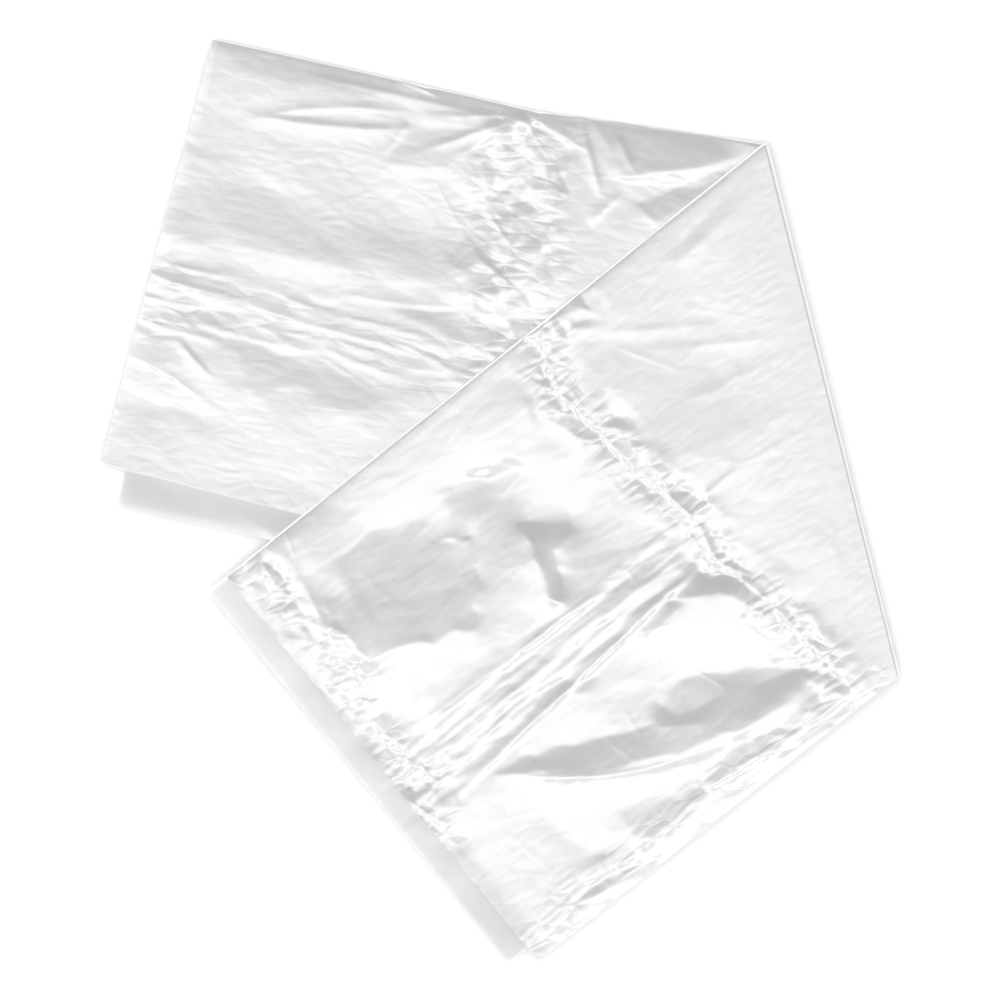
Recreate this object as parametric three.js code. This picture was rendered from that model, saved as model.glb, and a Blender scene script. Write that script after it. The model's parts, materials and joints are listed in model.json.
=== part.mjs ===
// A disposable barber cape of clear polyethylene film, folded as it comes out of its packet.
// Millimetres, +Z up, the origin under the middle of the folded cape.
//
// The cape is one cut sheet with two neck ties welded on. From neck to hem it is folded across
// into four quarters of equal depth: neck, chest, lap and hem. The neck and hem quarters are
// tucked inside each other, so the folded strip has nested folds along one edge, and a closed
// fold beside two cut edges along the other. The strip is then folded over once more on a
// slanting line, which leaves a lower arm on the table and an upper arm lying across it.
//
// Places on the strip are given as (along, across): along runs with the strip from the free end
// of the lower arm to the free end of the upper arm, across runs from the nested edge.
import * as THREE from 'three';

// The cut sheet
const SHEET_WIDTH = 1000;
const SHEET_LENGTH = 1600;
const QUARTERS = 4;
const STRIP_WIDTH = SHEET_LENGTH / QUARTERS;

// Film leaves: each solid is far thicker than the film it stands for, and air lies between them
const LEAF = 0.4;
const AIR = 0.8;
const CLEARANCE = 0.35;

// The slanting fold, and how the lower arm lies in the frame
const FOLD_START = 448;
const FOLD_ANGLE = THREE.MathUtils.degToRad(65.15);
const LOWER_HEADING = THREE.MathUtils.degToRad(-10.8);

// How far each pair of quarters has slipped and skewed in folding, at its two free ends
const OUTER_PAIR = {
  lower: { slip: 0, skew: -25, narrowing: 48 },
  upper: { slip: 19, skew: 0, narrowing: 17 },
  narrowingAtFold: 10,
};
const TUCKED_PAIR = {
  lower: { slip: 4, skew: -8, narrowing: 17 },
  upper: { slip: 0, skew: 0, narrowing: 4 },
  narrowingAtFold: 0,
};

// Neck cut-out and ties
const NECK_OPENING = 150;
const NECK_DEPTH = 70;
const TIE_WIDTH = 25;
const TIE_LENGTH = 300;
const TIE_INSET = 8;

// Smoothness of the round folds
const ARC_STEPS = 14;
const NOTCH_STEPS = 24;

// Heights of the quarters in the lower arm, from the table up. The ties lie above the neck quarter.
const TIE_LEVEL = LEAF + CLEARANCE;
const NECK_LEVEL = 0;
const HEM_LEVEL = TIE_LEVEL + LEAF + AIR;
const LAP_LEVEL = HEM_LEVEL + LEAF + AIR;
const CHEST_LEVEL = LAP_LEVEL + LEAF + AIR;
const ARM_HEIGHT = CHEST_LEVEL + LEAF;
const FOLD_AXIS_HEIGHT = ARM_HEIGHT + AIR / 2;

const QUARTER = {
  neck: { level: NECK_LEVEL, pair: TUCKED_PAIR },
  hem: { level: HEM_LEVEL, pair: TUCKED_PAIR },
  lap: { level: LAP_LEVEL, pair: OUTER_PAIR },
  chest: { level: CHEST_LEVEL, pair: OUTER_PAIR },
};

// The strip's directions in the frame, and the slanting fold's direction and outward normal
const ALONG = new THREE.Vector3(Math.cos(LOWER_HEADING), Math.sin(LOWER_HEADING), 0);
const ACROSS = new THREE.Vector3(ALONG.y, -ALONG.x, 0);
const FOLD = ALONG.clone().multiplyScalar(Math.cos(FOLD_ANGLE))
  .addScaledVector(ACROSS, Math.sin(FOLD_ANGLE));
const OUTWARD = new THREE.Vector3(-FOLD.y, FOLD.x, 0);
const FOLD_POINT = ALONG.clone().multiplyScalar(FOLD_START);
const UP = new THREE.Vector3(0, 0, 1);

const FILM = { color: 0xdcdde0, roughness: 0.16, metalness: 0, transparent: true };

function film(opacity) {
  return new THREE.MeshStandardMaterial({ ...FILM, opacity });
}

const cape = new THREE.Group();

function add(name, geometry, opacity, position = new THREE.Vector3()) {
  const mesh = new THREE.Mesh(geometry, film(opacity));
  mesh.name = name;
  mesh.position.copy(position);
  cape.add(mesh);
}

// Where a place on the strip lies, before the upper arm is folded over
function onStrip(along, across) {
  return ALONG.clone().multiplyScalar(along).addScaledVector(ACROSS, across);
}

// The same point after folding: the upper arm is the strip mirrored in the slanting fold
function folded(point) {
  const distance = point.clone().sub(FOLD_POINT).dot(OUTWARD);
  return point.clone().addScaledVector(OUTWARD, -2 * distance);
}

// Where the slanting fold's axis crosses the strip, moved along it by a gap
function foldAt(across, gap = 0) {
  return FOLD_START + across / Math.tan(FOLD_ANGLE) + gap / Math.sin(FOLD_ANGLE);
}

function slab(points, thickness) {
  const shape = new THREE.Shape(points.map((point) => new THREE.Vector2(point.x, point.y)));
  return new THREE.ExtrudeGeometry(shape, { depth: thickness, bevelEnabled: false });
}

// Radii of the round folds along the strip's edges, set by the leaves that each one joins
const NESTED_OUTER = foldRadius(NECK_LEVEL, CHEST_LEVEL);
const NESTED_INNER = foldRadius(HEM_LEVEL, LAP_LEVEL);
const CLOSED = foldRadius(LAP_LEVEL, CHEST_LEVEL);

function foldRadius(lowLevel, highLevel) {
  return (highLevel + LEAF - lowLevel) / 2;
}

// Each quarter starts this far from the nested edge, past the round of its own fold
const OUTER_FOLD_CENTRE = NESTED_OUTER;
const INNER_FOLD_CENTRE = NESTED_OUTER + NESTED_INNER;
const QUARTER_START = {
  neck: OUTER_FOLD_CENTRE + CLEARANCE,
  chest: OUTER_FOLD_CENTRE + CLEARANCE,
  hem: INNER_FOLD_CENTRE + CLEARANCE,
  lap: INNER_FOLD_CENTRE + CLEARANCE,
};

// A quarter ends at its cut edge, or short of the round of the closed fold
const QUARTER_TRIM = { neck: 0, hem: 0, lap: CLOSED + CLEARANCE, chest: CLOSED + CLEARANCE };

// The free end of an arm, at a share of the strip's width from the nested edge
function freeEnd(arm, pair, share) {
  const { slip, skew } = pair[arm];
  const end = arm === 'lower' ? 0 : SHEET_WIDTH;
  return end + slip + skew * share;
}

function widthAtEnd(arm, pair) {
  return STRIP_WIDTH - pair[arm].narrowing;
}

function widthAtFold(pair) {
  return STRIP_WIDTH - pair.narrowingAtFold;
}

// The neck cut-out: half an ellipse taken out of the neck quarter's cut edge, at mid-width
function neckNotch() {
  const width = widthAtFold(TUCKED_PAIR);
  const points = [];
  for (let step = 0; step <= NOTCH_STEPS; step += 1) {
    const angle = (Math.PI * step) / NOTCH_STEPS;
    const along = SHEET_WIDTH / 2 + (NECK_OPENING / 2) * Math.cos(angle);
    points.push([along, edgeAt(along, width) - NECK_DEPTH * Math.sin(angle)]);
  }
  return points;
}

// The lower arm's cut edge runs straight from its width at the fold to its width at the free end
function edgeAt(along, width) {
  const share = along / foldAt(width, -CLEARANCE);
  return THREE.MathUtils.lerp(widthAtEnd('lower', TUCKED_PAIR), width, share);
}

function leafOutline(arm, quarter) {
  const { pair } = QUARTER[quarter];
  const start = QUARTER_START[quarter];
  const endWidth = widthAtEnd(arm, pair) - QUARTER_TRIM[quarter];
  const foldWidth = widthAtFold(pair) - QUARTER_TRIM[quarter];
  const gap = arm === 'lower' ? -CLEARANCE : CLEARANCE;
  const notch = arm === 'lower' && quarter === 'neck' ? neckNotch() : [];
  return [
    [freeEnd(arm, pair, 0), start],
    [foldAt(start, gap), start],
    [foldAt(foldWidth, gap), foldWidth],
    ...notch,
    [freeEnd(arm, pair, 1), endWidth],
  ];
}

// One quarter of the cape in one arm. The upper arm's leaves lie in the opposite order.
function addLeaf(arm, quarter) {
  const { level } = QUARTER[quarter];
  const points = leafOutline(arm, quarter).map(([along, across]) => onStrip(along, across));
  const placed = arm === 'lower' ? points : points.map(folded);
  const height = arm === 'lower' ? level : 2 * FOLD_AXIS_HEIGHT - level - LEAF;
  const opacity = 0.5;
  add(`${arm}_${quarter}_leaf`, slab(placed, LEAF), opacity, new THREE.Vector3(0, 0, height));
}

// The section of a round fold: half a ring that opens towards its leaves
function halfRing(radius) {
  const shape = new THREE.Shape();
  shape.absarc(0, 0, radius, -Math.PI / 2, Math.PI / 2, false);
  shape.absarc(0, 0, radius - LEAF, Math.PI / 2, -Math.PI / 2, true);
  return shape;
}

// A round fold from one point to another, bulging to the side given
function roundFold(radius, from, to, bulge) {
  const run = to.clone().sub(from);
  const length = run.length();
  const geometry = new THREE.ExtrudeGeometry(halfRing(radius), {
    depth: length,
    steps: 1,
    curveSegments: ARC_STEPS,
    bevelEnabled: false,
  });
  const direction = run.normalize();
  const basis = new THREE.Matrix4();
  const rightHanded = bulge.clone().cross(UP).dot(direction) > 0;
  const start = rightHanded ? from : to;
  const axis = rightHanded ? direction : direction.clone().negate();
  basis.makeBasis(bulge, UP, axis).setPosition(start);
  return geometry.applyMatrix4(basis);
}

// The folds along the strip's two edges: [name, radius, distance from the edge, centre height,
// pair of quarters, edge]
const EDGE_FOLDS = [
  ['neck_chest', NESTED_OUTER, OUTER_FOLD_CENTRE, NECK_LEVEL + NESTED_OUTER, TUCKED_PAIR, 'nested'],
  ['lap_hem', NESTED_INNER, INNER_FOLD_CENTRE, HEM_LEVEL + NESTED_INNER, OUTER_PAIR, 'nested'],
  ['chest_lap', CLOSED, CLOSED, LAP_LEVEL + CLOSED, OUTER_PAIR, 'closed'],
];

// Edge folds stop short of the slanting fold by this much, measured along the strip
const EDGE_FOLD_STOP = ARM_HEIGHT;

function addEdgeFold(arm, [name, radius, inset, height, pair, edge]) {
  const nested = edge === 'nested';
  const endAcross = nested ? inset : widthAtEnd(arm, pair) - inset;
  const foldAcross = nested ? inset : widthAtFold(pair) - inset;
  const stop = arm === 'lower' ? -EDGE_FOLD_STOP : EDGE_FOLD_STOP;
  const end = onStrip(freeEnd(arm, pair, nested ? 0 : 1), endAcross);
  const start = onStrip(foldAt(foldAcross, stop), foldAcross);
  const [from, to] = arm === 'lower' ? [end, start] : [folded(end), folded(start)];
  const side = new THREE.Vector3(to.y - from.y, from.x - to.x, 0).normalize();
  const middleAcross = STRIP_WIDTH / 2;
  const middle = onStrip(freeEnd(arm, pair, 1 / 2), middleAcross);
  const inside = (arm === 'lower' ? middle : folded(middle)).sub(from);
  const bulge = side.dot(inside) > 0 ? side.negate() : side;
  const level = arm === 'lower' ? height : 2 * FOLD_AXIS_HEIGHT - height;
  const geometry = roundFold(radius, from, to, bulge);
  const opacity = 0.7;
  add(`${arm}_${name}_fold`, geometry, opacity, new THREE.Vector3(0, 0, level));
}

// The rolls where each quarter turns over the slanting fold, one inside another
function addRoll(quarter) {
  const { level, pair } = QUARTER[quarter];
  const radius = FOLD_AXIS_HEIGHT - level;
  const first = QUARTER_START[quarter] + ARM_HEIGHT;
  const last = widthAtFold(pair) - QUARTER_TRIM[quarter] - ARM_HEIGHT;
  const from = onStrip(foldAt(first), first);
  const to = onStrip(foldAt(last), last);
  const geometry = roundFold(radius, from, to, OUTWARD);
  const opacity = 0.7;
  add(`${quarter}_roll`, geometry, opacity, new THREE.Vector3(0, 0, FOLD_AXIS_HEIGHT));
}

// A neck tie: a strip of film with a round tip, from its weld beside the cut-out
function addTie(name, root, direction) {
  const radius = TIE_WIDTH / 2;
  const side = new THREE.Vector3(-direction.y, direction.x, 0);
  const points = [
    root.clone().addScaledVector(side, radius),
    root.clone().addScaledVector(side, -radius),
  ];
  const tipCentre = root.clone().addScaledVector(direction, TIE_LENGTH - radius);
  for (let step = 0; step <= ARC_STEPS; step += 1) {
    const angle = (Math.PI * step) / ARC_STEPS - Math.PI / 2;
    const reach = direction.clone().multiplyScalar(radius * Math.cos(angle));
    points.push(tipCentre.clone().add(reach).addScaledVector(side, radius * Math.sin(angle)));
  }
  const opacity = 0.6;
  add(name, slab(points, LEAF), opacity, new THREE.Vector3(0, 0, TIE_LEVEL));
}

for (const arm of ['lower', 'upper']) {
  Object.keys(QUARTER).forEach((quarter) => addLeaf(arm, quarter));
  EDGE_FOLDS.forEach((fold) => addEdgeFold(arm, fold));
}
Object.keys(QUARTER).forEach(addRoll);

// Both ties start beside the cut-out, just inside the cut edge. One lies along the strip, and the
// other runs beside the slanting fold.
const NECK_CENTRE = SHEET_WIDTH / 2;
const TIE_WELD_LINE = edgeAt(NECK_CENTRE, widthAtFold(TUCKED_PAIR)) - TIE_INSET;
const FROM_NECK_CENTRE = NECK_OPENING / 2 + TIE_INSET;
const LEFT_ROOT = onStrip(NECK_CENTRE - FROM_NECK_CENTRE, TIE_WELD_LINE - TIE_WIDTH / 2);
const RIGHT_ROOT = onStrip(NECK_CENTRE + FROM_NECK_CENTRE + TIE_WIDTH / 2, TIE_WELD_LINE);
addTie('left_tie', LEFT_ROOT, ALONG.clone().negate());
addTie('right_tie', RIGHT_ROOT, FOLD.clone().negate());

// The origin goes under the middle of the folded cape
cape.updateMatrixWorld(true);
const middle = new THREE.Box3().setFromObject(cape).getCenter(new THREE.Vector3());
cape.position.set(-middle.x, -middle.y, 0);

export default cape;
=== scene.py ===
# %% [markdown]
# # A folded barber cape of clear film
#
# A disposable barber cape is one sheet of polyethylene film about fifteen thousandths of a
# millimetre thick, with a neck cut-out and two ties. This one is folded into a strip of four
# leaves, and the strip is folded once more on a slant. The leaves are too thin to see by
# themselves. What the eye sees is their crinkled surface mirroring the lights of the room, so
# this lesson is about relief: where the film is flat, where it is creased, and how steeply.
#
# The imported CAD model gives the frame. Everything below is in metres, with +Z up, and each film
# leaf is laid where its CAD leaf lies.

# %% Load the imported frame
import json
import math

import bmesh
import bpy
import numpy as np
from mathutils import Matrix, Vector, geometry


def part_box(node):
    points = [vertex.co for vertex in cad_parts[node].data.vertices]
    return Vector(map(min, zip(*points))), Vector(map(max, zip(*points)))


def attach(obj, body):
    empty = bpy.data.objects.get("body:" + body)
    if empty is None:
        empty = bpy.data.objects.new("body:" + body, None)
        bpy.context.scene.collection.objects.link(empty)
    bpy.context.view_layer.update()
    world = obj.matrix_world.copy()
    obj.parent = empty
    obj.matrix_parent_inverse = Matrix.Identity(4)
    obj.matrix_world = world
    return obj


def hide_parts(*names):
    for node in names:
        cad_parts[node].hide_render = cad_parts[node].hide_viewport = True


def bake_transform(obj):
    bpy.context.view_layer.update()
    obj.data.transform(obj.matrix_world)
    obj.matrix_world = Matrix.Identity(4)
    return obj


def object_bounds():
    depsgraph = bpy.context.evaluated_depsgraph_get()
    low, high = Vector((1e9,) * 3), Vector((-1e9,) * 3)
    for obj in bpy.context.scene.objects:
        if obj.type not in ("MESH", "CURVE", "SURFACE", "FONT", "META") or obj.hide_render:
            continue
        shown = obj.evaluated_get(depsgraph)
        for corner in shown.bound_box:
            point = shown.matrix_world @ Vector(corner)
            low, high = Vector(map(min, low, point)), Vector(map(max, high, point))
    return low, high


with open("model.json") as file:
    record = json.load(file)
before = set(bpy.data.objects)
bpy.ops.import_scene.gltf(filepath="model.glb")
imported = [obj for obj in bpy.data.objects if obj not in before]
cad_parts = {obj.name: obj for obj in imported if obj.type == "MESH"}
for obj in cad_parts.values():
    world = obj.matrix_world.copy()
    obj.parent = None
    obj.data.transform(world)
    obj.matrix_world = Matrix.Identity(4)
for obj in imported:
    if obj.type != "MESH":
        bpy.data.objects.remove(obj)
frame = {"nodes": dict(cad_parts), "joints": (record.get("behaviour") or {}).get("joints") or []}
cad_low, cad_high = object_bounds()
MM = 0.001
print("cape in CAD, mm:", [round(side / MM, 1) for side in cad_high - cad_low])

# %% [markdown]
# ## The table, the camera and the lights
#
# The cape lies on a white table and is looked at from straight above. Film shows no colour of
# its own, so the lights are half of the material: a light room overhead keeps flat film light,
# a bright near side makes every slope that leans towards it flash white, and a dim far side
# turns the slopes that lean the other way grey. Overhead the world is a plain gradient from the
# dim side to the bright side, and lower down it is a slow noise, so that steep creases pick up
# lights and darks as uneven as a real room's. Both are cheaper and less noisy than lamps.

# %% Camera straight above
CAMERA_HEIGHT = 30.0
SENSOR = 36.0
VIEW_WIDTH = 0.8016
lens = SENSOR * CAMERA_HEIGHT / VIEW_WIDTH
camera = bpy.data.objects.new("camera", bpy.data.cameras.new("camera"))
camera.data.lens = lens
camera.data.sensor_width = SENSOR
camera.data.clip_end = 3 * CAMERA_HEIGHT
middle = (cad_low + cad_high) / 2
camera.location = (middle.x, middle.y, CAMERA_HEIGHT)
bpy.context.scene.collection.objects.link(camera)
bpy.context.scene.camera = camera
print("lens, mm:", round(lens, 1))

# %% A white table
TABLE_SIZE = 12.0
bm = bmesh.new()
bmesh.ops.create_grid(bm, x_segments=1, y_segments=1, size=TABLE_SIZE / 2)
table_mesh = bpy.data.meshes.new("table")
bm.to_mesh(table_mesh)
bm.free()
table = bpy.data.objects.new("table", table_mesh)
bpy.context.scene.collection.objects.link(table)


def linear(hex_colour):
    """The linear colour of an sRGB hex value such as "F4F4F4"."""
    channels = [int(hex_colour[i:i + 2], 16) / 255 for i in (0, 2, 4)]
    curve = [c / 12.92 if c <= 0.04045 else ((c + 0.055) / 1.055) ** 2.4 for c in channels]
    return (*curve, 1.0)


def add(tree, kind, links=None, **settings):
    """Adds a node; settings are its properties or, where it has none of that name, its sockets."""
    node = tree.nodes.new(kind)
    for name, value in settings.items():
        if hasattr(node, name):
            setattr(node, name, value)
        else:
            node.inputs[name.replace("_", " ")].default_value = value
    for socket, source in (links or {}).items():
        tree.links.new(source, node.inputs[socket])
    return node


def new_material(name):
    """An empty node material with its output, ready for a shader."""
    material = bpy.data.materials.new(name)
    material.use_nodes = True
    material.node_tree.nodes.clear()
    return material, material.node_tree


white, tree = new_material("laminate_matt_white")
surface = add(tree, "ShaderNodeBsdfPrincipled", Base_Color=linear("F8F8F8"), Roughness=0.9)
surface.inputs["Specular IOR Level"].default_value = 0.1
add(tree, "ShaderNodeOutputMaterial", {"Surface": surface.outputs[0]})
table_mesh.materials.append(white)

# %% The room: neutral overhead, bright towards the near side, dim towards the far side
world = bpy.data.worlds.new("room")
world.use_nodes = True
bpy.context.scene.world = world
tree = world.node_tree
tree.nodes.clear()
direction = add(tree, "ShaderNodeTexCoord").outputs["Generated"]
LIGHT_SIDE = Vector((-0.25, -0.97, 0.0))
side = add(tree, "ShaderNodeVectorMath", {0: direction}, operation="DOT_PRODUCT")
side.inputs[1].default_value = LIGHT_SIDE
spread = add(tree, "ShaderNodeMapRange", {"Value": side.outputs["Value"]})
spread.inputs["From Min"].default_value = -1.0
ramp = add(tree, "ShaderNodeValToRGB", {"Fac": spread.outputs["Result"]})
ROOM = [(-1.0, 0.80), (-0.75, 0.60), (-0.55, 0.48), (-0.30, 0.50), (-0.20, 0.54), (-0.14, 0.62),
        (-0.09, 0.72), (-0.05, 0.82), (-0.02, 0.90), (0.000, 0.96), (0.020, 1.04), (0.045, 1.12),
        (0.060, 1.18), (0.17, 1.22), (0.20, 0.96), (0.27, 0.86), (0.30, 1.25), (0.42, 1.30),
        (0.48, 0.90), (0.56, 1.20), (1.0, 1.30)]
BRIGHTEST, ROOM_STRENGTH = 2.0, 1.12


def set_levels(stops, places, levels):
    """Puts grey levels, as shares of the brightest one, at places from 0 to 1 on a ramp."""
    stops[1].position = places[-1]
    for place in places[1:-1]:
        stops.new(place)
    for stop, level in zip(stops, levels):
        stop.color = (level / BRIGHTEST, level / BRIGHTEST, level / BRIGHTEST, 1.0)


set_levels(ramp.color_ramp.elements, [(towards_light + 1) / 2 for towards_light, _ in ROOM],
           [level for _, level in ROOM])
WALLS = [(0.0, 0.70), (0.38, 0.75), (0.42, 1.10), (0.54, 1.20), (0.58, 1.50), (1.0, 1.60)]
clutter = add(tree, "ShaderNodeTexNoise", {"Vector": direction}, Scale=3.4, Detail=1.5)
walls = add(tree, "ShaderNodeValToRGB", {"Fac": clutter.outputs["Fac"]})
set_levels(walls.color_ramp.elements, [place for place, _ in WALLS], [level for _, level in WALLS])
height = add(tree, "ShaderNodeSeparateXYZ", {0: direction}).outputs["Z"]
WALL_TOP, CEILING = 0.72, 0.90
overhead = add(tree, "ShaderNodeMapRange", {"Value": height})
overhead.inputs["From Min"].default_value = WALL_TOP
overhead.inputs["From Max"].default_value = CEILING
room = add(tree, "ShaderNodeMix", {"Factor": overhead.outputs["Result"],
                                   "A": walls.outputs["Color"], "B": ramp.outputs["Color"]})
backdrop = add(tree, "ShaderNodeBackground", {"Color": room.outputs["Result"]},
               Strength=BRIGHTEST * ROOM_STRENGTH)
add(tree, "ShaderNodeOutputWorld", {"Surface": backdrop.outputs[0]})
scene = bpy.context.scene
scene.view_settings.view_transform = "Standard"
scene.cycles.transparent_max_bounces = 32
print("room levels from the dim side to the bright side:", [level for _, level in ROOM])

# %% [markdown]
# ## Where a place on the strip lies
#
# Every leaf is described in strip coordinates: along the strip from the free end of the lower
# arm to the free end of the upper arm, and across it from the edge with the nested folds. The
# joint of the CAD model is the axis of the slanting fold, so the strip's place follows from it.
# The upper arm is the far part of the strip, mirrored in that axis.

# %% Strip coordinates
joint = frame["joints"][0]
fold_point = np.array(joint["pos_m"])
fold_run = -np.array(joint["axis"])
outward = np.array([-fold_run[1], fold_run[0], 0.0])
FOLD_ANGLE = math.radians(65.15)
FOLD_START = 448.0
turn = np.array([[math.cos(FOLD_ANGLE), -math.sin(FOLD_ANGLE), 0.0],
                 [math.sin(FOLD_ANGLE), math.cos(FOLD_ANGLE), 0.0], [0.0, 0.0, 1.0]])
along_run = turn @ fold_run
across_run = np.array([along_run[1], -along_run[0], 0.0])
strip_corner = fold_point - along_run * FOLD_START * MM


def fold_at(across):
    """Where the slanting fold's axis crosses the strip, in mm along it."""
    return FOLD_START + across / math.tan(FOLD_ANGLE)


def to_table(arm, along, across):
    """Strip coordinates in mm to places on the table in metres, with the upper arm folded over."""
    flat = strip_corner + np.multiply.outer(along * MM, along_run)
    flat = flat + np.multiply.outer(across * MM, across_run)
    if arm == "upper":
        beyond = (flat - fold_point) @ outward
        flat = flat - 2 * np.multiply.outer(beyond, outward)
    return flat[..., :2]


def to_lower_strip(places):
    """Places on the table in metres to the lower arm's strip coordinates in mm."""
    offset = places - strip_corner[:2]
    return offset @ along_run[:2] / MM, offset @ across_run[:2] / MM


print("strip corner, mm:", (strip_corner / MM).round(1))

# %% [markdown]
# ## Relief maps
#
# Crinkled film is not a smooth cloth: it stays flat between sharp creases, so a random noise
# displacement looks wrong on it. Here each arm gets a height map, one millimetre to a sample,
# and three kinds of mark go into it: single wrinkles with a sharp crest, fields of flat facets
# for the crumpled bands, and patches of film that lean to one side.
#
# A leaning patch is what makes a pool of even grey or white, because all of it mirrors the same
# part of the room. Tilting it as a plate would leave a cliff along its rim. So the patches are
# gathered as slopes first, and at the end one height map is found that comes nearest to all of
# them: the film then runs from one patch to the next as a sheet does.

# %% Height maps, in millimetres
CELL = 1.0
along_axis = np.arange(-40.0, 1060.0, CELL)
across_axis = np.arange(-12.0, 424.0, CELL)
relief = {arm: np.zeros((len(along_axis), len(across_axis))) for arm in ("lower", "upper")}
crumpled = {arm: np.zeros_like(height) for arm, height in relief.items()}
leans = {arm: np.zeros((2, *height.shape)) for arm, height in relief.items()}
ALL_ALONG, ALL_ACROSS = np.meshgrid(along_axis, across_axis, indexing="ij")
CREASE_DEPTH = {"lower": 0.31, "upper": 0.44}
LEAN_GAIN, LEAN_REACH = {"lower": 1.5, "upper": 1.9}, 52.0
SPLASH = 0.46


def smooth(x):
    """Rises smoothly from 0 to 1 as x goes from 0 to 1."""
    x = np.clip(x, 0, 1)
    return x * x * (3 - 2 * x)


def window(low, high):
    """The samples inside a box of the map: their slices and their places."""
    i0, i1 = np.searchsorted(along_axis, (low[0], high[0]))
    j0, j1 = np.searchsorted(across_axis, (low[1], high[1]))
    where = (slice(i0, i1), slice(j0, j1))
    return where, ALL_ALONG[where], ALL_ACROSS[where]


def soften(height, radius):
    """Blurs a map with a round Gaussian of that radius in mm."""
    fa = np.fft.fftfreq(height.shape[0], CELL)[:, None]
    fb = np.fft.rfftfreq(height.shape[1], CELL)[None, :]
    keep = np.exp(-2 * (math.pi * radius) ** 2 * (fa ** 2 + fb ** 2))
    return np.fft.irfft2(np.fft.rfft2(height) * keep, s=height.shape)


def wrinkle(arm, start, end, height, width, lean=0.0, bow=0.0, ends=(0.3, 0.3)):
    """A sharp crest from start to end. lean makes the side to its left wider, bow curves it."""
    start, end = np.array(start, float), np.array(end, float)
    reach = width * (1 + abs(lean)) + abs(bow) + CELL
    where, along, across = window(np.minimum(start, end) - reach, np.maximum(start, end) + reach)
    run = end - start
    length = np.hypot(*run)
    part = ((along - start[0]) * run[0] + (across - start[1]) * run[1]) / length ** 2
    off = ((across - start[1]) * run[0] - (along - start[0]) * run[1]) / length
    off = off - bow * 4 * part * (1 - part)
    side_width = width * np.where(off > 0, 1 + lean, 1 - lean)
    height = height * CREASE_DEPTH[arm]
    crest = np.clip(1 - np.abs(off) / side_width, 0, 1) ** 2
    fade = smooth(part / ends[0]) * smooth((1 - part) / ends[1])
    relief[arm][where] += height * crest * fade


def patch(arm, outline, tilt, rim=2.5, ragged=0.0, seed=7):
    """Asks for a patch of film that leans by tilt along and across, inside an outline."""
    outline = np.array(outline, float)
    reach = rim + ragged + 2 * CELL
    where, along, across = window(outline.min(0) - reach, outline.max(0) + reach)
    nearest = np.full(along.shape, np.inf)
    inside = np.zeros(along.shape, bool)
    for a, b in zip(outline, np.roll(outline, -1, axis=0)):
        run = b - a
        part = ((along - a[0]) * run[0] + (across - a[1]) * run[1]) / (run @ run)
        part = np.clip(part, 0, 1)
        nearest = np.minimum(nearest, np.hypot(along - a[0] - part * run[0],
                                               across - a[1] - part * run[1]))
        if a[1] != b[1]:
            level = (across - a[1]) / run[1]
            inside ^= ((across >= a[1]) != (across >= b[1])) & (along < a[0] + level * run[0])
    depth = np.where(inside, nearest, -nearest)
    if ragged:
        shape = np.zeros(ALL_ALONG.shape)
        shape[where] = 1
        depth = depth + ragged * facet_field(shape, (17, 12), 20, seed)[where]
    for axis in (0, 1):
        leans[arm][axis][where] += LEAN_GAIN[arm] * tilt[axis] * smooth(0.5 + depth / rim)


def height_from_leans(slopes):
    """The height map whose slopes come nearest to those asked for, so that no cliff is left."""
    fa = 2j * math.pi * np.fft.fftfreq(slopes.shape[1], CELL)[:, None]
    fb = 2j * math.pi * np.fft.rfftfreq(slopes.shape[2], CELL)[None, :]
    square = abs(fa) ** 2 + abs(fb) ** 2
    square[0, 0] = 1.0
    waves = (fa.conj() * np.fft.rfft2(slopes[0]) + fb.conj() * np.fft.rfft2(slopes[1])) / square
    return np.fft.irfft2(waves * (1 - np.exp(-square * LEAN_REACH ** 2 / 2)), s=slopes.shape[1:])


def near_line(points, width):
    """A mask that is 1 on a line through points and falls to 0 at width."""
    far = np.full(ALL_ALONG.shape, np.inf)
    for a, b in zip(points, points[1:]):
        a, run = np.array(a, float), np.subtract(b, a).astype(float)
        part = ((ALL_ALONG - a[0]) * run[0] + (ALL_ACROSS - a[1]) * run[1]) / (run @ run)
        part = np.clip(part, 0, 1)
        far = np.minimum(far, np.hypot(ALL_ALONG - a[0] - part * run[0],
                                       ALL_ACROSS - a[1] - part * run[1]))
    return smooth(1.5 * (1 - far / width))


def in_oval(centre, size, turned=0.0, rim=0.5):
    """A mask that is 1 inside an oval and falls to 0 at its edge."""
    da, db = ALL_ALONG - centre[0], ALL_ACROSS - centre[1]
    c, s = math.cos(math.radians(turned)), math.sin(math.radians(turned))
    far = np.hypot((da * c + db * s) / size[0], (db * c - da * s) / size[1])
    return smooth((1 - far) / rim)


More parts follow.
